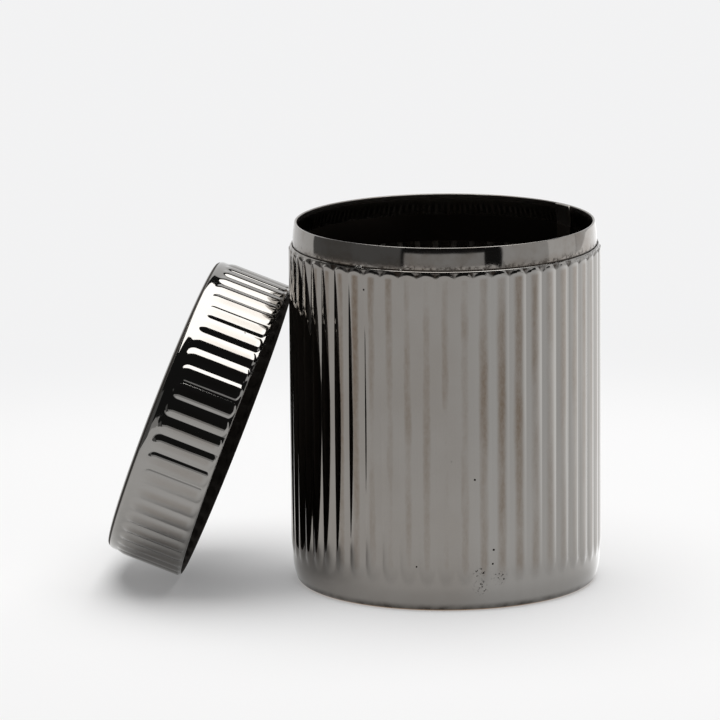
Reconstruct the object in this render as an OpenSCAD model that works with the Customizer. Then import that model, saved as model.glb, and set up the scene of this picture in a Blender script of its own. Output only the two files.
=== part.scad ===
// Reeded metal canister: a drawn body, the neck ring soldered in its mouth, and its lid leaning beside it.
// Millimetres, +Z up. The canister's axis is the Z axis and it stands on z = 0. The lid is on the -X side.

/* [Body] */
// Diameter of the body's plain wall, without the reeds
body_d = 94; // [84:1:104]
// Height of the body from the table to its raw rim
body_h = 104; // [100:1:160]
// Thickness of the sheet that body and lid are drawn from
sheet = 0.6; // [0.5:0.05:0.9]
// Height above the table at which the wall stands plumb
foot_rise = 7.4; // [5:0.2:10]
// How far the wall draws in on its way down to the foot
foot_in = 1.7; // [1:0.1:2.5]
// Radius of the edge that turns under the body
foot_edge_r = 2; // [1.4:0.1:3]
// Width of the flat ring that the body stands on
standing_w = 3; // [2:0.5:6]
// Depth of the hollow pressed up inside that ring
base_hollow = 1; // [0.5:0.1:2]

/* [Reeds] */
// Number of reeds, the same round the body and round the lid
reeds = 52; // [44:1:56]
// How far a reed stands proud of the plain wall
reed_h = 0.5; // [0.35:0.05:0.7]
// Width of the flat left between two reeds
reed_land = 0.3; // [0.2:0.05:0.5]
// Height of the arch that ends a reed below a rim
arch_h = 1.7; // [1.2:0.1:2.4]
// Plain band between the reeds' arched ends and a rim
rim_band = 0.5; // [0.4:0.1:3]
// Radius of the dressed edges of a rim
rim_r = 0.22; // [0.1:0.02:0.24]
// Plain band between the drawn-in foot and the reeds
foot_band = 0.6; // [0.4:0.1:3]
// Length over which the body's reeds fade out above the foot
foot_fade = 6; // [3:0.5:12]

/* [Neck ring] */
// Height of the neck ring above the body's rim
neck_rise = 7; // [4:0.5:12]
// Depth that the ring reaches down into the mouth
neck_depth = 8; // [4:0.5:14]
// How far the ring's top edge draws in from its root
neck_in = 0.65; // [0.35:0.05:2]
// Thickness of the strip that the ring is rolled from
strip = 0.7; // [0.5:0.1:1.2]
// Film of solder between the ring and the body's wall
solder_film = 0.1; // [0.05:0.05:0.2]
// Width of the lap where the strip's ends overlap
lap_w = 7; // [4:0.5:14]
// Direction of the lap's end round the canister, in degrees from +X
lap_turn = 31; // [0:1:350]

/* [Lid] */
// Height of the lid
lid_h = 24.4; // [18:0.2:36]
// Radius of the edge round the lid's top
lid_edge_r = 2.4; // [1.6:0.1:4]
// Clearance between the lid's wall and the neck ring's root
lid_fit = 0.2; // [0.1:0.05:0.4]
// Plain band between the rounded edge and the lid's reeds
top_band = 1; // [0.5:0.1:3]
// Length over which the lid's reeds fade out below its top
top_fade = 3; // [1.5:0.5:6]
// Lean of the lid's open face from upright, in degrees
lid_lean = 20.8; // [15:0.2:30]
// Turn of the leaning lid round the canister, in degrees
lid_swing = 5.7; // [0:0.1:30]
// Turn of the lid about its own axis, in degrees
lid_turn = 0; // [0:0.5:7]
// Gap left where the lid's rim rests against the body
lean_gap = 0.3; // [0.1:0.05:0.5]

/* [Hidden] */
$fn = 96;

gunmetal = [0.40, 0.39, 0.38];
polished_strip = [0.33, 0.32, 0.31];
arc_steps = 10;
rim_steps = 4;
// The faded end of a reed dives this far under the plain wall.
reed_dive = 0.1;
// Angle of the rod's front that is turned, well past both flanks of its reed.
rod_front = 90;

body_r = body_d / 2;
neck_r = body_r - sheet - solder_film;
lid_r = neck_r + lid_fit + sheet;

// The foot is one long arc that is plumb at foot_rise, rolled into a small one at the standing ring.
heel_r = (pow(foot_rise, 2) + pow(foot_in, 2)) / (2 * foot_in);
heel_x = body_r - heel_r;
foot_edge_x = heel_x + sqrt(pow(heel_r - foot_edge_r, 2) - pow(foot_rise - foot_edge_r, 2));
heel_angle = asin((foot_rise - foot_edge_r) / (heel_r - foot_edge_r));
hollow_r = foot_edge_x - standing_w;

// The ring bulges like a barrel: it is plumb at the body's rim and draws in along one arc to its top edge.
barrel_r = (pow(neck_rise, 2) + pow(neck_in, 2)) / (2 * neck_in);
barrel_angle = asin(neck_rise / barrel_r);

// A reed's round section touches its crest radius and meets the plain wall at its two flanks.
pitch_angle = 360 / reeds;
function land_angle(r) = asin(reed_land / r);
function flank_angle(r) = (pitch_angle - land_angle(r)) / 2;
function crest_r(r) = r + reed_h;
function rod_r(r) = (pow(r, 2) + pow(crest_r(r), 2) - 2 * r * crest_r(r) * cos(flank_angle(r)))
    / (2 * (crest_r(r) - r * cos(flank_angle(r))));
function rod_x(r) = crest_r(r) - rod_r(r);

function arc(centre, r, from, to, steps = arc_steps) = [
    for (i = [0 : steps])
        let (a = from + (to - from) * i / steps)
            centre + r * [cos(a), sin(a)]
];
function reversed(points) = [for (i = [len(points) - 1 : -1 : 0]) points[i]];

// Dressed edge of a wall of outer radius r and the sheet's thickness that ends at height h.
function rim_line(r, h) = concat(
    arc([r - rim_r, h - rim_r], rim_r, 0, 90, rim_steps),
    arc([r - sheet + rim_r, h - rim_r], rim_r, 90, 180, rim_steps)
);

// Half section of the body's plain wall and base, moved inwards by t.
function body_line(t) = concat(
    [[0, base_hollow + t], [hollow_r - base_hollow, base_hollow + t], [hollow_r, t]],
    arc([foot_edge_x, foot_edge_r], foot_edge_r - t, -90, -heel_angle),
    arc([heel_x, foot_rise], heel_r - t, -heel_angle, 0)
);

// Half section of the lid's plain skirt and top, moved inwards by t, with the lid lying on its top.
function lid_line(t) = concat(
    [[0, t]],
    arc([lid_r - lid_edge_r, lid_edge_r], lid_edge_r - t, -90, 0)
);

// Half section of the ring's strip, moved inwards by t.
function neck_line(t) = concat(
    [[neck_r - t, body_h - neck_depth]],
    arc([neck_r - barrel_r, body_h], barrel_r - t, 0, barrel_angle)
);

module sheet_turned(outer, rim, inner, angle = 360) {
    rotate_extrude(angle = angle)
        polygon(concat(outer, rim, reversed(inner)));
}

// Front of an upright rod that fades in over its foot. Its outermost sliver is a reed.
module reed_rod(r, bottom, fade, top) {
    rotate([0, 0, -rod_front / 2])
        rotate_extrude(angle = rod_front)
            polygon([
                [r / 2, bottom],
                [r - reed_h - reed_dive, bottom],
                [r, bottom + fade],
                [r, top],
                [r / 2, top]
            ]);
}

// A reed seen from the front: a strip with an arched head.
module reed_front(half_w, bottom, top) {
    arch_r = (pow(half_w, 2) + pow(arch_h, 2)) / (2 * arch_h);
    translate([-half_w, bottom])
        square([2 * half_w, top - arch_h - bottom]);
    intersection() {
        translate([0, top - arch_r])
            circle(r = arch_r);
        translate([-half_w, top - arch_h])
            square([2 * half_w, arch_h]);
    }
}

// One reed on a wall of radius r, shrunk by t for the hollow behind it, with its root sunk in the wall.
module reed(r, t, bottom, fade, top) {
    root = sheet / 2;
    half_w = (r - t) * sin((pitch_angle + 2 * flank_angle(r)) / 4);
    intersection() {
        translate([rod_x(r), 0, 0])
            reed_rod(rod_r(r) - t, bottom, fade, top);
        translate([r - t - root, 0, 0])
            rotate([90, 0, 90])
                linear_extrude(root + 2 * reed_h)
                    reed_front(half_w, bottom, top - t);
    }
}

module reed_ring(r, t, bottom, fade, top, first) {
    for (i = [0 : reeds - 1])
        rotate([0, 0, first + i * pitch_angle])
            reed(r, t, bottom, fade, top);
}

module canister_body() {
    bottom = foot_rise + foot_band;
    top = body_h - rim_band;
    // A groove between two reeds faces straight forward, along -Y.
    first = -90 + pitch_angle / 2;
    color(gunmetal)
        difference() {
            union() {
                sheet_turned(body_line(0), rim_line(body_r, body_h), body_line(sheet));
                reed_ring(body_r, 0, bottom, foot_fade, top, first);
            }
            reed_ring(body_r, sheet, bottom, foot_fade, top, first);
        }
}

module neck_ring() {
    lap_angle = lap_w / neck_r * 180 / PI;
    // The strip's inner end lies soldered against its outer one, so it starts inside that one's thickness.
    color(polished_strip)
        union() {
            sheet_turned(neck_line(0), [], neck_line(strip));
            rotate([0, 0, lap_turn])
                sheet_turned(neck_line(strip / 2), [], neck_line(2 * strip), lap_angle);
        }
}

// The lid lying on its top, with its open rim upwards. Its reeds run from their arched ends at the rim to its top.
module lid_upturned() {
    bottom = lid_edge_r + top_band;
    top = lid_h - rim_band;
    difference() {
        union() {
            sheet_turned(lid_line(0), rim_line(lid_r, lid_h), lid_line(sheet));
            reed_ring(lid_r, 0, bottom, top_fade, top, lid_turn);
        }
        reed_ring(lid_r, sheet, bottom, top_fade, top, lid_turn);
    }
}

// The lid stands on its rim, or on the arched head of its lowest reed, and leans with its rim against the body.
module lid() {
    reach = crest_r(body_r) + lean_gap + lid_r * sin(lid_lean);
    head_drop = crest_r(lid_r) * cos(lid_lean) - rim_band * sin(lid_lean);
    color(gunmetal)
        rotate([0, 0, -lid_swing])
            translate([-reach, 0, max(head_drop, lid_r * cos(lid_lean))])
                rotate([0, lid_lean - 90, 0])
                    translate([0, 0, lid_h])
                        mirror([0, 0, 1])
                            lid_upturned();
}

canister_body();
neck_ring();
lid();
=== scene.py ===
"""Reeded canister: pressed sheet walls, plated finishes and a small studio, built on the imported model."""

from functools import reduce
from math import asin, atan2, cos, degrees, hypot, pi, radians, sin, sqrt, tan

import bmesh
import bpy
from bpy.props import FloatProperty, FloatVectorProperty, IntProperty, PointerProperty
from mathutils import Matrix, Vector


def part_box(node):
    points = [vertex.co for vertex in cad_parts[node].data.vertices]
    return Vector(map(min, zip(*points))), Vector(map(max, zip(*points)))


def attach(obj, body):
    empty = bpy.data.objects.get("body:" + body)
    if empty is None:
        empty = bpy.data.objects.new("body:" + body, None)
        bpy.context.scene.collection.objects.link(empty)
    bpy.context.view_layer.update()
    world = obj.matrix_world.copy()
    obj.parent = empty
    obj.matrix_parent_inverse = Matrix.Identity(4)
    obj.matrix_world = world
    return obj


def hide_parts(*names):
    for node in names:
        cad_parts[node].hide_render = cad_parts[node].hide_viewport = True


bl_info = {
    "name": "Reeded Canister",
    "version": (1, 0, 0),
    "blender": (4, 5, 0),
    "location": "3D View > Sidebar > Canister",
    "description": "Makes the pressed walls, neck ring, leaning lid and studio of a reeded canister",
    "category": "Object",
}

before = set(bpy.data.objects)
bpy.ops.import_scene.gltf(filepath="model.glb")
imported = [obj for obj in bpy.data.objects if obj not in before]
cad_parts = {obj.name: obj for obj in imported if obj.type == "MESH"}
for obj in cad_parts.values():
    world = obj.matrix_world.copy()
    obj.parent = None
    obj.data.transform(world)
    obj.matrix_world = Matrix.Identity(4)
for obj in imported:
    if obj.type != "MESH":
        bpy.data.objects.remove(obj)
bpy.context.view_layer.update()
BODY_LOW, BODY_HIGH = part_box("canister_body")
RING_LOW, RING_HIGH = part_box("neck_ring")

MM = 0.001
WELD = 0.001 * MM

# Direction of the front, in degrees from +X. Azimuths are measured from it, to the right.
FRONT = -90
# Outline of the table in metres: an apron in front, narrow beside the object, and wide behind it.
TABLE = (
    (-0.66, -0.35), (-0.33, -0.57), (-0.5, -0.87), (0.62, -0.87), (0.42, -0.5),
    (0.66, -0.3), (0.66, 0.4), (3.0, 3.5), (-3.0, 3.5), (-0.66, 0.45),
)
# Middle of the shaded part of the table, and of the darker patch under the lid.
SHADE_MIDDLE = (-0.02, 0.0, 0.0)
LID_FOOT = (-0.09, -0.02, 0.0)
# Boards that only reflections see: first and last azimuth, top and soft edge, all in degrees, and level.
BOARDS = (
    (118, 182, 38, 2, 1.0), (-182, -118, 38, 2, 1.0), (44, 116, 32, 2, 0.8), (86, 116, 32, 2, 1.15),
    (-30, 29, 4.2, 0.8, 0.55), (-116, -34, 30, 2, 0.18),
)
# Pits and patches of specks on the body: azimuth in degrees, height and radius.
BODY_PITS = (
    (2, 46.4 * MM, 0.5 * MM), (10.6, 40.6 * MM, 0.5 * MM), (17.6, 18.8 * MM, 0.55 * MM),
    (17.2, 14.5 * MM, 0.5 * MM), (-11, 14 * MM, 0.45 * MM), (-31, 97.5 * MM, 0.5 * MM),
    (-25.7, 15.3 * MM, 0.4 * MM),
)
BODY_SPECKS = ((12.3, 12 * MM, 2.5 * MM), (12.5, 7.5 * MM, 3 * MM), (19.8, 10 * MM, 3 * MM))
# Beads of solder at the ring's root: azimuth in degrees and radius, then their shape towards the axis,
# along the rim and upwards, as shares of the radius.
SOLDER_BEADS = ((-33.0, 0.5 * MM), (-34.8, 0.36 * MM), (-16.5, 0.3 * MM), (14.2, 0.22 * MM))
BEAD_SHAPE = (0.7, 1.6, 0.9)
# Pits on the lid: direction round its axis in degrees, height above its top and radius.
LID_PITS = ((38.4, 17.7 * MM, 0.4 * MM), (46.6, 17.5 * MM, 0.4 * MM), (-3.9, 8.2 * MM, 0.4 * MM))


def length(name, description, default):
    """A size in metres that the sidebar shows."""
    return FloatProperty(name=name, description=description, default=default, unit="LENGTH", precision=5)


def angle(name, description, default):
    """An angle whose default is given in degrees."""
    return FloatProperty(name=name, description=description, default=radians(default), subtype="ANGLE")


def amount(name, description, default):
    """A plain number."""
    return FloatProperty(name=name, description=description, default=default, precision=4)


def colour(name, description, default):
    """A linear colour."""
    return FloatVectorProperty(name=name, description=description, default=default, size=3, subtype="COLOR")


class ReedSizes(bpy.types.PropertyGroup):
    """The upright reeds, the same round the body and round the lid."""

    count: IntProperty(name="Reeds", description="Reeds round the wall", default=52, min=12)
    columns: IntProperty(name="Columns", description="Mesh columns in one reed", default=16, min=6)
    height: length("Height", "How far a reed stands proud of the plain wall", 0.5 * MM)
    land: length("Land", "Flat left between two reeds", 0.3 * MM)
    arch: length("Arch", "Height of the arch that ends a reed", 1.7 * MM)
    rim_band: length("Rim band", "Plain band between the arched ends and a rim", 0.5 * MM)
    dive: length("Dive", "How far a faded end dips under the wall", 0.1 * MM)
    head_slope: amount("Head slope", "How steeply a reed's arched head drops to the wall", 0.62)
    head_reach: length("Head reach", "How far that slope reaches past the arch", 0.12 * MM)
    head_share: amount("Head share", "Share of a reed's height that runs on to the rim", 0.18)
    softness: length("Softness", "Depth over which pressed corners are rounded", 0.05 * MM)
    crowding: amount("Crowding", "How closely the columns gather in the grooves", 0.5)


class CupSizes(bpy.types.PropertyGroup):
    """The body and the lid, both drawn from the same sheet."""

    sheet: length("Sheet", "Thickness of the drawn sheet", 0.6 * MM)
    body_radius: length("Body radius", "Radius of the body's plain wall", BODY_HIGH.y - 0.5 * MM)
    body_height: length("Body height", "Height of the body's rim", BODY_HIGH.z)
    foot_rise: length("Foot rise", "Height at which the wall stands plumb", 7.4 * MM)
    foot_in: length("Foot in", "How far the wall draws in towards the foot", 1.7 * MM)
    foot_edge: length("Foot edge", "Radius that turns under the body", 2 * MM)
    standing: length("Standing ring", "Width of the flat ring that it stands on", 3 * MM)
    hollow: length("Hollow", "Depth of the hollow pressed up in the base", 1 * MM)
    hollow_bend: length("Hollow bend", "Radius of the bends round the hollow", 0.8 * MM)
    foot_band: length("Foot band", "Plain band between foot and reeds", 0.6 * MM)
    foot_fade: length("Foot fade", "Length over which the body's reeds fade out", 6 * MM)
    turn: angle("Turn", "Direction that the middle of one reed faces", FRONT)
    rim_round: length("Rim rounding", "Outer rounding of the sheet's raw rim", 0.4 * MM)
    rim_inner: length("Inner rim rounding", "Inner rounding of the sheet's raw rim", 0.12 * MM)
    rim_lean: length("Rim lean", "How far the plain band draws in at the rim", 0.085 * MM)
    rim_tall: length("Rim height", "Height of the part that draws in", 0.5 * MM)


class RingSizes(bpy.types.PropertyGroup):
    """The neck ring, a strip rolled up and soldered into the mouth."""

    rise: length("Rise", "Height above the body's rim", RING_HIGH.z - BODY_HIGH.z)
    depth: length("Depth", "Reach down into the mouth", BODY_HIGH.z - RING_LOW.z)
    draw_in: length("Draw in", "How far the top edge draws in", 0.65 * MM)
    strip: length("Strip", "Thickness of the strip", 0.7 * MM)
    film: length("Film", "Solder film between ring and wall", 0.1 * MM)
    edge_round: length("Edge rounding", "Rounding of the strip's edges", 0.2 * MM)
    lap: length("Lap", "Width of the lap", 7 * MM)
    lap_turn: angle("Lap turn", "Direction of the lap's end", 31)


class LidSizes(bpy.types.PropertyGroup):
    """The lid and the way it leans."""

    height: length("Height", "Height of the lid", 24.4 * MM)
    edge: length("Edge", "Radius of the edge round its top", 2.4 * MM)
    fit: length("Fit", "Clearance round the neck ring", 0.2 * MM)
    top_band: length("Top band", "Plain band between edge and reeds", 1 * MM)
    top_fade: length("Top fade", "Length over which its reeds fade out", 3 * MM)
    lean: angle("Lean", "Lean of its open face from upright", 20.8)
    swing: angle("Swing", "Turn of the leaning lid round the canister", 5.7)
    gap: length("Gap", "Gap where its rim rests against the body", 0.3 * MM)


class FinishSettings(bpy.types.PropertyGroup):
    """Black nickel plate, what has happened to it, and the shade and reflection painted on it."""

    plate: colour("Plate", "Clean plate", (0.295, 0.286, 0.272))
    # Brown of the tarnish, also used to paint shade along the reeds' crests.
    crest_brown: colour("Crest brown", "Brown of tarnish and painted shade along the crests", (0.15, 0.115, 0.085))
    grime_and_shade: colour("Grime and shade", "Dark residue, and painted shade at the foot, inside the lid and at the ring's root", (0.03, 0.023, 0.018))
    # Dark colour of residue, also used for painted shade at the foot, inside the lid and along the ring's
    # root.
    pit: colour("Pit", "Bottom of a pit", (0.012, 0.01, 0.009))
    # Warm colour of a painted reflection along the foot's lowest edge.
    painted_foot_glint: colour("Foot glint", "Painted warm reflection along the foot's lowest edge", (0.42, 0.26, 0.12))
    roughness: amount("Roughness", "Roughness of the clean plate", 0.05)
    inside_haze: amount("Inside haze", "Roughness added on the unpolished inside of body and lid", 0.5)
    waviness: length("Waviness", "Depth of the press marks in the bump", 0.25 * MM)


class StudioSettings(bpy.types.PropertyGroup):
    """Floor, lamps and camera."""

    paper: colour("Paper", "Floor and backdrop", (0.89, 0.89, 0.895))
    shadow_lift: amount("Shadow lift", "Share of the floor near the object that glows by itself", 0.42)
    shade_inner: length("Shade inner", "Distance within which the floor takes the full shadow", 0.16)
    shade_outer: length("Shade outer", "Distance from which the floor glows evenly", 0.4)
    lid_shade: amount("Lid shade", "Share of the glow that is missing under the lid", 0.5)
    right_first: angle("Right first", "Azimuth at which the floor starts to brighten in reflections", 58)
    right_last: angle("Right last", "Azimuth at which it is brightest", 112)
    right_gain: amount("Right gain", "How bright it is there, where 1 is the floor's own level", 1.6)
    fill: amount("Fill", "Level of the surround for matt surfaces", 0.12)
    gap_level: amount("Gap level", "Level that reflections see between the boards", 0.02)
    camera_distance: length("Camera distance", "From the middle of the foot", 2.0)
    camera_rise: angle("Camera rise", "Height of the camera over the floor", 13.64)
    camera_turn: angle("Camera turn", "Aim to the side", -0.766)
    camera_dip: angle("Camera dip", "Aim below level", 11.738)
    camera_roll: angle("Camera roll", "Roll about the aim", -0.467)
    lens: amount("Lens", "Focal length in millimetres on a 36 mm sensor", 325.75)
    lamp_height: length("Lamp height", "Height of the overhead soft box", 1.5)
    lamp_radiance: amount("Lamp radiance", "Radiance of the soft box, where 1 renders white", 3.7)
    lamp_front: angle("Lamp front", "Height of the soft box's front edge over the horizon", 67)
    lamp_back: angle("Lamp back", "Height of its back edge over the horizon", 53)
    lamp_aside: length("Lamp aside", "How far the soft box stands to the right", 0.1)
    lamp_side: length("Lamp side", "Half of the soft box's width", 0.8)


def corner_arc(before, corner, after, radius, steps):
    """Points of a fillet where two straight stretches of a half section meet."""
    inward, outward = (before - corner).normalized(), (after - corner).normalized()
    half = inward.angle(outward) / 2
    reach = radius / tan(half)
    centre = corner + (inward + outward).normalized() * radius / sin(half)
    start, end = corner + inward * reach - centre, corner + outward * reach - centre
    sweep = start.angle_signed(end)
    return [centre + Matrix.Rotation(-sweep * i / steps, 2) @ start for i in range(steps + 1)]


def half_section(corners, steps=4):
    """A half section from (radius, height, rounding) corners, with each rounded corner as an arc."""
    places = [Vector((radius, height)) for radius, height, _ in corners]
    points = []
    for i, (radius, height, rounding) in enumerate(corners):
        if rounding:
            points += corner_arc(places[i - 1], places[i], places[(i + 1) % len(places)], rounding, steps)
        else:
            points.append(places[i])
    return points


def arc(centre, radius, start, end, steps=10):
    """Corners along a round stretch, from one angle in degrees to another, with no further rounding."""
    turns = [radians(start + (end - start) * i / steps) for i in range(steps + 1)]
    return [(centre[0] + radius * cos(a), centre[1] + radius * sin(a), 0) for a in turns]


def with_rows(points, outer, inner, split):
    """Adds points to a half section: at one list of heights outside the split radius, at another inside."""
    rows = [points[0]]
    for low, high in zip(points, points[1:]):
        heights = outer if low.x + high.x > 2 * split else inner
        crossed = [h for h in heights if min(low.y, high.y) + 1e-6 < h < max(low.y, high.y) - 1e-6]
        for h in sorted(crossed, reverse=high.y < low.y):
            rows.append(low.lerp(high, (h - low.y) / (high.y - low.y)))
        rows.append(high)
    return rows


def spread(low, high, steps):
    """Evenly spaced heights, both ends included."""
    return [low + (high - low) * i / steps for i in range(steps + 1)]


def sector(points, columns, sweep, start=0.0, closed=False, capped=False):
    """Spins a half section part of the way round the Z axis, from a start angle."""
    bm = bmesh.new()
    verts = [bm.verts.new((p.x, 0, p.y)) for p in points]
    edges = [bm.edges.new(pair) for pair in zip(verts, verts[1:] + verts[:1] * closed)]
    if capped:
        bm.faces.new(verts)
    bmesh.ops.spin(
        bm, geom=verts + edges + bm.faces[:], cent=(0, 0, 0), axis=(0, 0, 1), angle=sweep, steps=columns,
    )
    bmesh.ops.rotate(bm, verts=bm.verts, cent=(0, 0, 0), matrix=Matrix.Rotation(start, 3, "Z"))
    return welded(bm)


def full_circle(bm, count):
    """Repeats a sector round the Z axis and welds its seams."""
    bmesh.ops.spin(
        bm, geom=bm.verts[:] + bm.edges[:] + bm.faces[:], cent=(0, 0, 0), axis=(0, 0, 1),
        angle=2 * pi * (count - 1) / count, steps=count - 1, use_duplicate=True,
    )
    return welded(bm)


def welded(bm):
    """Merges doubled vertices and points the faces outwards."""
    bmesh.ops.remove_doubles(bm, verts=bm.verts, dist=WELD)
    bmesh.ops.recalc_face_normals(bm, faces=bm.faces)
    return bm


def soft_max(value, floor, softness):
    """The larger of two numbers, rounded where they are closer than the softness."""
    blend = max(softness - abs(value - floor), 0) / softness
    return max(value, floor) + blend ** 2 * softness / 4


class Reed:
    """The round section of the reeds on a wall, and how it rises out of the wall along its height."""

    def __init__(self, sizes, radius, foot, fade, rim):
        self.sizes, self.radius, self.foot, self.fade = sizes, radius, foot, fade
        self.pitch = 2 * pi / sizes.count
        flank = (self.pitch - asin(sizes.land / radius)) / 2
        crest = radius + sizes.height
        chord_squared = radius ** 2 + crest ** 2 - 2 * radius * crest * cos(flank)
        self.rod = chord_squared / (2 * (crest - radius * cos(flank)))
        self.axis = crest - self.rod
        self.half_width = sin((self.pitch + 2 * flank) / 4)
        self.top = rim - sizes.rim_band

    def rows(self, fine):
        """Heights at which the wall needs a row of vertices, more of them where it is seen close."""
        end = self.top + self.sizes.head_reach
        spring, roll = self.top - self.sizes.arch, end - 1.4 * self.sizes.height / self.sizes.head_slope
        fading = spread(self.foot, self.foot + self.fade, 3 + 4 * fine)
        shaft = spread(self.foot + self.fade, spring, 3)[1:-1]
        head = spread(spring, roll, 2 + fine) + spread(roll, end, 3 + 8 * fine)[1:]
        return fading + shaft + head

    def inside_arch(self, aside, height, depth):
        """How far a point lies inside the arched outline of the reed's head, grown by the head's reach."""
        half, rise = self.half_width * (self.radius - depth), self.sizes.arch
        arch = (half ** 2 + rise ** 2) / (2 * rise)
        return arch + self.sizes.head_reach - hypot(aside, max(height - (self.top - depth - arch), 0))

    def rise(self, off_axis, height, radius):
        """How far the reed, or the hollow behind it, lifts a wall vertex at an angle from its axis."""
        depth = self.radius - radius
        faded = 1 - min(max((height - self.foot) / self.fade, 0), 1)
        rod = self.rod - depth - (self.sizes.height + self.sizes.dive) * faded ** 2
        inside = rod ** 2 - (self.axis * sin(off_axis)) ** 2
        if inside <= 0:
            return 0
        soft = self.sizes.softness
        rise = self.axis * cos(off_axis) + sqrt(inside) - radius
        if height > self.top - self.sizes.arch:
            share = self.sizes.head_share
            step = self.sizes.head_slope * self.inside_arch(radius * sin(off_axis), height, depth)
            rise = share * rise - soft_max((share - 1) * rise, -soft_max(step, 0, 2 * soft), soft)
        return soft_max(rise, 0, soft)

    def press(self, bm, sheet):
        """Presses one reed, whose axis lies along +X, through its sector of the plain wall."""
        for vert in bm.verts:
            x, y, z = vert.co
            radius, turn = hypot(x, y), atan2(y, x)
            turn += self.sizes.crowding * sin(2 * pi * turn / self.pitch) / (2 * pi) * self.pitch
            depth = self.radius - radius
            if -0.1 * sheet < depth < 1.1 * sheet and self.foot < z:
                radius += self.rise(turn, z, radius)
            vert.co = (radius * cos(turn), radius * sin(turn), z)

    def pressed_wall(self, section, sheet, first):
        """The whole cup: one reed's sector, pressed and repeated. The first reed faces the angle first."""
        bm = sector(section, self.sizes.columns, self.pitch, -self.pitch / 2)
        self.press(bm, sheet)
        bmesh.ops.rotate(bm, verts=bm.verts, cent=(0, 0, 0), matrix=Matrix.Rotation(first, 3, "Z"))
        return full_circle(bm, self.sizes.count)


def finish_piece(bm, name, material, replaced=None):
    """Turns a bmesh into a smooth piece that rides on the part's one body."""
    mesh = bpy.data.meshes.new(name)
    bm.to_mesh(mesh)
    bm.free()
    mesh.shade_smooth()
    mesh.materials.append(material)
    piece = bpy.data.objects.new(name, mesh)
    bpy.context.scene.collection.objects.link(piece)
    if replaced:
        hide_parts(replaced)
    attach(piece, "root")
    return piece


def body_corners(cup):
    """Half section of the body, down the outside from the axis to the rim and back along the inside."""
    rise, inset, edge = cup.foot_rise, cup.foot_in, cup.foot_edge
    heel = (rise ** 2 + inset ** 2) / (2 * inset)
    heel_x = cup.body_radius - heel
    edge_x = heel_x + sqrt((heel - edge) ** 2 - (rise - edge) ** 2)
    heel_angle = degrees(asin((rise - edge) / (heel - edge)))
    hollow_x = edge_x - cup.standing

    def line(t, steps):
        return (
            [(0, cup.hollow + t, 0), (hollow_x - cup.hollow, cup.hollow + t, cup.hollow_bend)]
            + [(hollow_x, t, cup.hollow_bend)]
            + arc((edge_x, edge), edge - t, -90, -heel_angle, steps)
            + arc((heel_x, rise), heel - t, -heel_angle, 0, steps)[1:]
        )

    return line(0, 10) + rim_corners(cup, cup.body_radius, cup.body_height) + line(cup.sheet, 6)[::-1]


def rim_corners(cup, radius, height):
    """Corners of a raw rim: the outer face draws in a little, then both edges are rounded."""
    bend = (radius, height - cup.rim_tall, 0.5 * cup.rim_tall)
    outer = (radius - cup.rim_lean, height, cup.rim_round)
    return [bend, outer, (radius - cup.sheet, height, cup.rim_inner)]


def lid_corners(cup, lid, radius):
    """Half section of the lid lying on its top, from the axis to the open rim and back along the inside."""

    def line(t):
        return [(0, t, 0)] + arc((radius - lid.edge, lid.edge), lid.edge - t, -90, 0)

    return line(0) + rim_corners(cup, radius, lid.height) + line(cup.sheet)[::-1]


def neck_radius():
    """Outer radius of the neck ring at its root."""
    cup, ring = bpy.context.scene.canister_cup, bpy.context.scene.canister_ring
    return cup.body_radius - cup.sheet - ring.film


def lid_radius():
    """Radius of the lid's plain skirt, which slips over the neck ring."""
    return neck_radius() + bpy.context.scene.canister_lid.fit + bpy.context.scene.canister_cup.sheet


def lid_place():
    """Matrix that takes the lid from lying on its top to leaning against the body."""
    scene = bpy.context.scene
    lid, reed, radius = scene.canister_lid, scene.canister_reed, lid_radius()
    reach = scene.canister_cup.body_radius + reed.height + lid.gap + radius * sin(lid.lean)
    head_drop = (radius + reed.height) * cos(lid.lean) - reed.rim_band * sin(lid.lean)
    return (
        Matrix.Rotation(-lid.swing, 4, "Z")
        @ Matrix.Translation((-reach, 0, head_drop))
        @ Matrix.Rotation(lid.lean - pi / 2, 4, "Y")
        @ Matrix.Translation((0, 0, lid.height))
        @ Matrix.Rotation(pi, 4, "X")
    )


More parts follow.
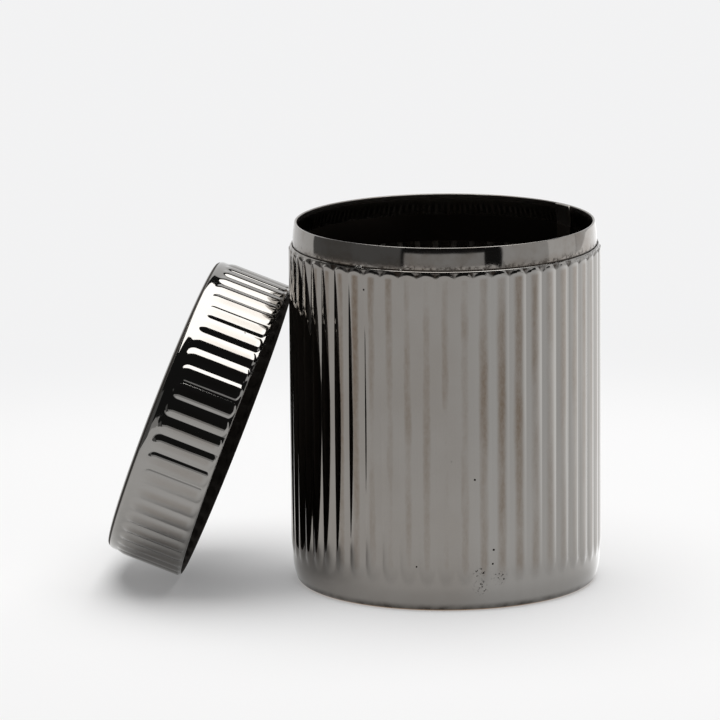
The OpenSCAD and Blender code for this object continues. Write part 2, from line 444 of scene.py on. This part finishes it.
class Wire:
    """A shader socket. Arithmetic on it adds Math nodes, and node() adds any other kind."""

    def __init__(self, tree, socket):
        self.tree, self.socket = tree, socket

    def node(self, kind, inputs, output=0, **settings):
        """Adds a node, sets its settings and then its sockets, and returns one of its outputs."""
        made = self.tree.nodes.new(kind)
        for name, value in settings.items():
            setattr(made, name, value)
        for name, value in inputs.items():
            if isinstance(value, Wire):
                self.tree.links.new(value.socket, made.inputs[name])
            else:
                made.inputs[name].default_value = value
        return Wire(self.tree, made.outputs[output])

    def maths(self, operation, *values):
        return self.node("ShaderNodeMath", dict(enumerate(values)), operation=operation)

    def __add__(self, other):
        return self.maths("ADD", self, other)

    def __sub__(self, other):
        return self.maths("SUBTRACT", self, other)

    def __rsub__(self, other):
        return self.maths("SUBTRACT", other, self)

    def __mul__(self, other):
        return self.maths("MULTIPLY", self, other)

    def __truediv__(self, other):
        return self.maths("DIVIDE", self, other)

    def __neg__(self):
        return self.maths("MULTIPLY", self, -1.0)

    def greater(self, other):
        return self.maths("MAXIMUM", self, other)

    def ramp(self, low, high, start=0.0, end=1.0):
        """Smooth step from start to end while this value goes from low to high."""
        values = {"Value": self, "From Min": low, "From Max": high, "To Min": start, "To Max": end}
        return self.node("ShaderNodeMapRange", values, interpolation_type="SMOOTHSTEP")

    def axes(self):
        split = self.node("ShaderNodeSeparateXYZ", {"Vector": self})
        outputs = split.socket.node.outputs
        return [Wire(self.tree, outputs[i]) for i in range(3)]

    def noise(self, scale, detail=2.0, roughness=0.5):
        values = {"Vector": self, "Scale": scale, "Detail": detail, "Roughness": roughness}
        return self.node("ShaderNodeTexNoise", values)

    def stretched(self, scale):
        return self.node("ShaderNodeVectorMath", {0: self, 1: scale}, operation="MULTIPLY")

    def near(self, place, inner, outer):
        """1 within the inner distance of a place, falling to 0 at the outer one."""
        ends = {0: self, 1: place}
        distance = self.node("ShaderNodeVectorMath", ends, output="Value", operation="DISTANCE")
        return distance.ramp(inner, outer, 1.0, 0.0)

    def from_axis(self):
        """Distance from the Z axis."""
        flat = self.stretched((1.0, 1.0, 0.0))
        return flat.node("ShaderNodeVectorMath", {0: flat}, output="Value", operation="LENGTH")

    def blend(self, low, high):
        """A colour between two others, by this value. Each is a plain colour or a socket."""
        ends = [end if isinstance(end, Wire) else (*end, 1) for end in (low, high)]
        return self.node("ShaderNodeMix", {0: self, 6: ends[0], 7: ends[1]}, output=2, data_type="RGBA")

    def into(self, socket):
        self.tree.links.new(self.socket, socket)


def new_material(name):
    """A node material, with its Principled shader and its Object coordinates."""
    material = bpy.data.materials.new(name)
    material.use_nodes = True
    tree = material.node_tree
    shader = tree.nodes["Principled BSDF"]
    coordinates = tree.nodes.new("ShaderNodeTexCoord")
    return material, shader, Wire(tree, coordinates.outputs["Object"])


def crest_of(here, first):
    """A cosine that is 1 along the middle of each reed and -1 along each groove."""
    x, y, _ = here.axes()
    angle = (y.maths("ARCTAN2", y, x) - first) * float(bpy.context.scene.canister_reed.count)
    return angle.maths("COSINE", angle)


def crest_tarnish_and_shade(here, crest, low, high):
    """Mottled brown tarnish along the middle of the reeds, between two heights. It is spread wide, so it also
    paints the crests darker than the grooves, which is painted shade.
    """
    z = here.axes()[2]
    upright = z.ramp(low, low + 7 * MM, 0.1, 1.0) * z.ramp(high - 2.4 * MM, high - 1.2 * MM, 1.0, 0.1)
    grain = here.stretched((1.0, 1.0, 0.45)).noise(1300.0, 4.0, 0.7).ramp(0.3, 0.7, 0.75, 1.0)
    cloud = here.stretched((1.0, 1.0, 0.3)).noise(90.0, 3.0, 0.6).ramp(0.3, 0.65, 0.4, 1.0)
    wander = here.stretched((1.0, 1.0, 0.15)).noise(300.0, 3.0, 0.6) * 1.1 - 0.55
    return (crest + wander).ramp(-0.7, 1.2) * upright * grain * cloud


def on_wall(radius, turn, height):
    """A place on a round wall, at an angle in degrees from +X."""
    return Vector((radius * cos(radians(turn)), radius * sin(radians(turn)), height))


def body_places(rows):
    """Centre and radius of marks on the body's wall, from (azimuth, height, radius) rows."""
    wall = bpy.context.scene.canister_cup.body_radius
    return [(on_wall(wall, FRONT + azimuth, height), size) for azimuth, height, size in rows]


def nearest(here, places, core):
    """1 in the core of any (centre, radius) place and 0 past its radius. The core is a share of the radius."""
    return reduce(Wire.greater, [here.near(centre, core * size, size) for centre, size in places])


def pits(here):
    """Small ragged pits on the body's wall."""
    ragged = here.noise(1800.0, 1.0) * 0.8 + 0.6
    return (ragged * nearest(here, body_places(BODY_PITS), 0.3)).ramp(0.25, 0.75)


def specks(here):
    """Patches of fine specks on the body's wall."""
    grains = here.noise(1300.0, 2.0, 0.6).ramp(0.56, 0.66)
    return grains * nearest(here, body_places(BODY_SPECKS), 0.4)


def finish_plate(shader, here, tarnish_and_shade, grime_and_shade, marks, dull, painted_foot_glint=None):
    """Wires the plate's colour, roughness and waviness from its tarnish and painted crest shade, its grime and
    painted shade, pits and any painted reflection along the foot.
    """
    finish = bpy.context.scene.canister_finish
    colour = marks.blend(grime_and_shade.blend(tarnish_and_shade.blend(finish.plate, finish.crest_brown), finish.grime_and_shade), finish.pit)
    if painted_foot_glint is not None:
        colour = painted_foot_glint.blend(colour, finish.painted_foot_glint)
    colour.into(shader.inputs["Base Color"])
    shader.inputs["Metallic"].default_value = 1.0
    haze = here.noise(160.0, 3.0) * 0.03 + (finish.roughness - 0.015)
    (haze + tarnish_and_shade * 0.08 + grime_and_shade * 0.3 + marks * 0.3 + dull).into(shader.inputs["Roughness"])
    dents = here.noise(45.0, 1.0) + here.noise(160.0, 1.0) * 0.12
    bump = dents.node("ShaderNodeBump", {"Strength": 1.0, "Distance": finish.waviness, "Height": dents})
    bump.into(shader.inputs["Normal"])


def body_plate(cup, reed):
    """The body's plate: brown tarnish and painted shade on the crests, dark cusps round the reed heads,
    painted shade and a painted reflection at the foot, pits and a dull inside.
    """
    finish = bpy.context.scene.canister_finish
    material, shader, here = new_material("body_plate")
    x, _, z = here.axes()
    crest = crest_of(here, cup.turn)
    # How strongly the tarnish and painted crest shade show: less over the middle, towards the far right and
    # low down.
    sides = x.ramp(0.0, 14 * MM, 0.75, 1.0).greater(x.ramp(-26 * MM, -12 * MM, 1.0, 0.75))
    sides = sides * x.ramp(22 * MM, 34 * MM, 1.0, 0.6) * z.ramp(20 * MM, 70 * MM, 0.75, 1.0)
    # A faint film of the same brown covers the left half and fades out just right of the middle.
    film = x.ramp(0.0, 16 * MM, 0.3, 0.02) * here.noise(60.0, 3.0).ramp(0.3, 0.7, 0.7, 1.0)
    tarnish_and_shade = (crest_tarnish_and_shade(here, crest, reed.foot, reed.top) * sides).greater(film)

    # A dark colour fills what the arched heads leave free, which is highest over the middle of a reed.
    over_spring = (z - (reed.top - reed.sizes.arch)) / (0.95 * reed.sizes.arch)
    cusp = (over_spring - crest).ramp(0.85, 1.35) * z.ramp(reed.top, cup.body_height, 1.0, 0.0)
    cusp = cusp * here.noise(420.0, 3.0).ramp(0.35, 0.62, 0.3, 1.0)
    # Painted shade: a mottled dark band low on the foot stands for the mirrored contact shadow.
    heel = z.ramp(0.9 * MM, 2.8 * MM, 0.8, 0.0) * here.noise(260.0, 3.0).ramp(0.3, 0.7, 0.5, 1.0)
    marks = pits(here).greater(specks(here))

    radial = here.from_axis()
    wall = radial.ramp(cup.body_radius - 0.5 * MM, cup.body_radius - 0.3 * MM, 1.0, 0.0)
    wall = wall * z.ramp(8 * MM, 10 * MM)
    base = radial.ramp(42 * MM, 43 * MM, 1.0, 0.0) * z.ramp(1.2 * MM, 1.4 * MM)
    dull = wall.greater(base) * finish.inside_haze
    # Painted reflection: a warm line along the foot's lowest edge.
    painted_foot_glint = z.ramp(0.35 * MM, 0.6 * MM, 1.0, 0.0)
    finish_plate(shader, here, tarnish_and_shade, cusp.greater(heel), marks, dull, painted_foot_glint)
    return material


def lid_plate(reed, place):
    """The lid's plate, laid out in the lid's own directions, with painted shade and more roughness on the
    inside.
    """
    material, shader, world = new_material("lid_plate")
    back = place.inverted()
    values = {"Vector": world, "Location": back.translation, "Rotation": back.to_euler()}
    here = world.node("ShaderNodeMapping", values)
    z = here.axes()[2]
    tarnish_and_shade = crest_tarnish_and_shade(here, crest_of(here, 0.0), reed.foot, reed.top) * 0.4
    rim = z.ramp(reed.top, reed.top + 0.3 * MM) * 0.25
    spots = [(on_wall(reed.radius, turn, height), size) for turn, height, size in LID_PITS]
    marks = nearest(here, spots, 0.3)

    radial = here.from_axis()
    wall = reed.radius - bpy.context.scene.canister_cup.sheet
    flat = radial.ramp(wall + 0.1 * MM, wall + 0.35 * MM, 1.0, 0.0) * z.ramp(0.3 * MM, 0.5 * MM)
    hollows = radial.ramp(reed.radius - 0.1 * MM, reed.radius - 0.03 * MM, 1.0, 0.0)
    hollows = hollows * z.ramp(reed.top - 0.4 * MM, reed.top, 1.0, 0.0) * z.ramp(3 * MM, 4 * MM)
    # Painted shade: the inside of the lid is darkened.
    inside = flat.greater(hollows)
    dull = inside * bpy.context.scene.canister_finish.inside_haze
    finish_plate(shader, here, tarnish_and_shade, rim.greater(inside * 0.85), marks, dull)
    return material


def ring_plate(cup, ring):
    """The neck ring's plate: speckled along its soldered root, with a painted shadow line there, a little dull
    inside, clean on the beads.
    """
    material, shader, here = new_material("ring_plate")
    above = here.axes()[2] - cup.body_height
    root = above.ramp(0.2 * MM, 3.2 * MM, 1.0, 0.0)
    speckle = (here.noise(700.0, 4.0, 0.75) + root * 0.14).ramp(0.56, 0.74) * root * 0.8
    # Painted shadow: a dark line along the ring's root, just over the body's rim.
    line = above.ramp(0.25 * MM, 0.55 * MM, 0.9, 0.0)
    tarnish_and_shade = here.noise(110.0, 3.0, 0.6).ramp(0.4, 0.7, 0.15, 0.5) + root * 0.2
    marks = here.noise(1400.0, 2.0, 0.7).ramp(0.74, 0.8) * root

    radial, outer = here.from_axis(), neck_radius()
    inner = outer - 0.5 * ring.strip - ring.draw_in
    inside = radial.ramp(inner - 0.2 * MM, inner + 0.2 * MM, 1.0, 0.0)
    dull = inside * (0.5 * bpy.context.scene.canister_finish.inside_haze)
    strip = radial.ramp(outer + 0.02 * MM, outer + 0.1 * MM, 1.0, 0.0)
    finish_plate(shader, here, tarnish_and_shade * strip, speckle.greater(line) * strip, marks, dull)
    return material


def solder_bead(bm, azimuth, size):
    """Adds a small flattened bead of solder in the corner between the ring and the body's rim."""
    rim = bpy.context.scene.canister_cup.body_height
    place = Matrix.Translation(on_wall(neck_radius(), FRONT + azimuth, rim + 0.3 * size))
    place = place @ Matrix.Rotation(radians(FRONT + azimuth), 4, "Z") @ Matrix.Diagonal((*BEAD_SHAPE, 1))
    bmesh.ops.create_icosphere(bm, subdivisions=3, radius=size, matrix=place)


class CANISTER_OT_body(bpy.types.Operator):
    """Make the drawn body with its pressed reeds"""

    bl_idname = "canister.body"
    bl_label = "Canister body"

    def execute(self, context):
        scene = context.scene
        cup, sizes = scene.canister_cup, scene.canister_reed
        reed = Reed(sizes, cup.body_radius, cup.foot_rise + cup.foot_band, cup.foot_fade, cup.body_height)
        split = cup.body_radius - cup.sheet / 2
        plain = half_section(body_corners(cup))
        section = with_rows(plain, reed.rows(True), reed.rows(False), split)
        bm = reed.pressed_wall(section, cup.sheet, cup.turn)
        metal = body_plate(cup, reed)
        finish_piece(bm, "pressed_body", metal, "canister_body")
        return {"FINISHED"}


class CANISTER_OT_lid(bpy.types.Operator):
    """Make the reeded lid, leaning against the body"""

    bl_idname = "canister.lid"
    bl_label = "Leaning lid"

    def execute(self, context):
        scene = context.scene
        cup, sizes, lid = scene.canister_cup, scene.canister_reed, scene.canister_lid
        radius = lid_radius()
        reed = Reed(sizes, radius, lid.edge + lid.top_band, lid.top_fade, lid.height)
        split = radius - cup.sheet / 2
        plain = half_section(lid_corners(cup, lid, radius))
        section = with_rows(plain, reed.rows(True), reed.rows(False), split)
        bm = reed.pressed_wall(section, cup.sheet, 0)
        place = lid_place()
        bmesh.ops.transform(bm, matrix=place, verts=bm.verts)
        metal = lid_plate(reed, place)
        finish_piece(bm, "pressed_lid", metal, "lid")
        return {"FINISHED"}


class CANISTER_OT_neck(bpy.types.Operator):
    """Make the neck ring with its soldered lap"""

    bl_idname = "canister.neck"
    bl_label = "Neck ring"

    def execute(self, context):
        scene = context.scene
        cup, ring = scene.canister_cup, scene.canister_ring
        root, rim = neck_radius(), cup.body_height
        barrel = (ring.rise ** 2 + ring.draw_in ** 2) / (2 * ring.draw_in)
        lean = degrees(asin(ring.rise / barrel))

        def line(t):
            curve = arc((root - barrel, rim), barrel - t, 0, lean, 8)
            foot, top = (root - t, rim - ring.depth), curve[-1][:2]
            return [(*foot, ring.edge_round), *curve[:-1], (*top, ring.edge_round)]

        sectors = 36
        section = half_section(line(0) + line(ring.strip)[::-1])
        bm = full_circle(sector(section, 10, 2 * pi / sectors, closed=True), sectors)
        lapped = half_section(line(ring.strip / 2) + line(1.9 * ring.strip)[::-1])
        tongue = sector(lapped, 14, ring.lap / root, ring.lap_turn, closed=True, capped=True)
        lap = bpy.data.meshes.new("lap")
        tongue.to_mesh(lap)
        tongue.free()
        bm.from_mesh(lap)
        bpy.data.meshes.remove(lap)
        for azimuth, size in SOLDER_BEADS:
            solder_bead(bm, azimuth, size)
        metal = ring_plate(cup, ring)
        finish_piece(bm, "rolled_neck_ring", metal, "neck_ring")
        return {"FINISHED"}


class CANISTER_OT_studio(bpy.types.Operator):
    """Set up the pale floor, the overhead soft box, the surround and the camera"""

    bl_idname = "canister.studio"
    bl_label = "Studio"

    def execute(self, context):
        studio = context.scene.canister_studio
        self.floor(studio)
        self.surround(context.scene, studio)
        self.soft_box(studio)
        self.camera(context.scene, studio)
        context.scene.view_settings.view_transform = "Standard"
        return {"FINISHED"}

    def floor(self, studio):
        """A pale table, cut away beside the view so that the metal mirrors its edges."""
        bm = bmesh.new()
        bm.faces.new([bm.verts.new((x, y, 0)) for x, y in TABLE])
        mesh = bpy.data.meshes.new("floor")
        bm.to_mesh(mesh)
        bm.free()
        floor = bpy.data.objects.new("floor", mesh)
        bpy.context.scene.collection.objects.link(floor)
        material, shader, here = new_material("paper")
        shader.inputs["Base Color"].default_value = (*studio.paper, 1)
        shader.inputs["Roughness"].default_value = 0.6
        shader.inputs["Specular IOR Level"].default_value = 0.0
        tree = here.tree
        glow = tree.nodes.new("ShaderNodeEmission")
        glossy = Wire(tree, tree.nodes.new("ShaderNodeLightPath").outputs["Is Glossy Ray"])
        x, y, _ = here.axes()
        right = glossy * x.maths("ARCTAN2", x, -y).ramp(studio.right_first, studio.right_last)
        bright = [studio.right_gain * level for level in studio.paper]
        right.blend(studio.paper, bright).into(glow.inputs["Color"])
        shade = here.near(SHADE_MIDDLE, studio.shade_inner, studio.shade_outer)
        glowing = shade.ramp(0.0, 1.0, 1.0, studio.shadow_lift)
        glowing = glowing * (1 - here.near(LID_FOOT, 0.015, 0.075) * studio.lid_shade)
        share = glowing.greater(right)
        sides = {0: share, 1: Wire(tree, shader.outputs[0]), 2: Wire(tree, glow.outputs[0])}
        share.node("ShaderNodeMixShader", sides).into(tree.nodes["Material Output"].inputs["Surface"])
        mesh.materials.append(material)

    def surround(self, scene, studio):
        """Pale to the camera. Reflections see the boards in it, and dark gaps between them."""
        world = bpy.data.worlds.new("surround")
        scene.world = world
        world.use_nodes = True
        tree = world.node_tree
        background = tree.nodes["Background"]
        x, y, z = Wire(tree, tree.nodes.new("ShaderNodeTexCoord").outputs["Generated"]).axes()
        aside = x.maths("ARCTAN2", x, -y)
        rise = z.maths("ARCSINE", z)

        def board(first, last, top, soft, level):
            """The level of a board that spans two azimuths, up to a height, and 0 outside it."""
            left = aside.ramp(radians(first - soft), radians(first))
            right = aside.ramp(radians(last), radians(last + soft), 1.0, 0.0)
            return left * right * rise.ramp(radians(top), radians(top + soft), 1.0, 0.0) * level

        levels = reduce(Wire.greater, [board(*row) for row in BOARDS]).greater(studio.gap_level)
        path = tree.nodes.new("ShaderNodeLightPath")
        camera = Wire(tree, path.outputs["Is Camera Ray"])
        glossy = Wire(tree, path.outputs["Is Glossy Ray"])
        strength = camera.greater(glossy * levels).greater((1 - camera) * (1 - glossy) * studio.fill)
        background.inputs["Color"].default_value = (*studio.paper, 1)
        strength.into(background.inputs["Strength"])

    def soft_box(self, studio):
        """The overhead lamp, from its front edge to its back edge as they are seen from the object."""
        near = studio.lamp_height / tan(studio.lamp_front)
        far = studio.lamp_height / tan(studio.lamp_back)
        lamp = bpy.data.lights.new("soft_box", "AREA")
        lamp.shape = "RECTANGLE"
        lamp.size, lamp.size_y = 2 * studio.lamp_side, near + far
        lamp.energy = studio.lamp_radiance * pi * lamp.size * lamp.size_y
        lamp.color = (1.0, 0.995, 0.985)
        box = bpy.data.objects.new("soft_box", lamp)
        box.location = (studio.lamp_aside, (far - near) / 2, studio.lamp_height)
        box.visible_camera = False
        bpy.context.scene.collection.objects.link(box)

    def camera(self, scene, studio):
        rise, distance = studio.camera_rise, studio.camera_distance
        turn, dip, roll = studio.camera_turn, studio.camera_dip, studio.camera_roll
        aim = Vector((sin(turn) * cos(dip), cos(turn) * cos(dip), -sin(dip)))
        level = Vector((cos(turn), -sin(turn), 0))
        upright = level.cross(aim)
        right = cos(roll) * level + sin(roll) * upright
        up = cos(roll) * upright - sin(roll) * level
        camera = bpy.data.objects.new("camera", bpy.data.cameras.new("camera"))
        camera.data.lens = studio.lens
        camera.data.sensor_width = 36
        turned_to = Matrix((right, up, -aim)).transposed().to_4x4()
        camera.matrix_world = Matrix.Translation((0, -distance * cos(rise), distance * sin(rise))) @ turned_to
        scene.collection.objects.link(camera)
        scene.camera = camera


class CANISTER_PT_sidebar(bpy.types.Panel):
    """Lists the steps in the order in which they are run"""

    bl_label = "Reeded canister"
    bl_idname = "CANISTER_PT_sidebar"
    bl_space_type = "VIEW_3D"
    bl_region_type = "UI"
    bl_category = "Canister"

    def draw(self, context):
        for step in STEPS:
            self.layout.operator(step.bl_idname)


STEPS = (CANISTER_OT_body, CANISTER_OT_neck, CANISTER_OT_lid, CANISTER_OT_studio)
SETTINGS = {
    "canister_reed": ReedSizes,
    "canister_cup": CupSizes,
    "canister_ring": RingSizes,
    "canister_lid": LidSizes,
    "canister_finish": FinishSettings,
    "canister_studio": StudioSettings,
}


def register():
    for group in SETTINGS.values():
        bpy.utils.register_class(group)
    for name, group in SETTINGS.items():
        setattr(bpy.types.Scene, name, PointerProperty(type=group))
    for entry in (*STEPS, CANISTER_PT_sidebar):
        bpy.utils.register_class(entry)


def unregister():
    for entry in (CANISTER_PT_sidebar, *reversed(STEPS)):
        bpy.utils.unregister_class(entry)
    for name, group in SETTINGS.items():
        delattr(bpy.types.Scene, name)
        bpy.utils.unregister_class(group)


def main():
    register()
    bpy.ops.canister.body()
    bpy.ops.canister.neck()
    bpy.ops.canister.lid()
    bpy.ops.canister.studio()


if __name__ == "__main__":
    main()
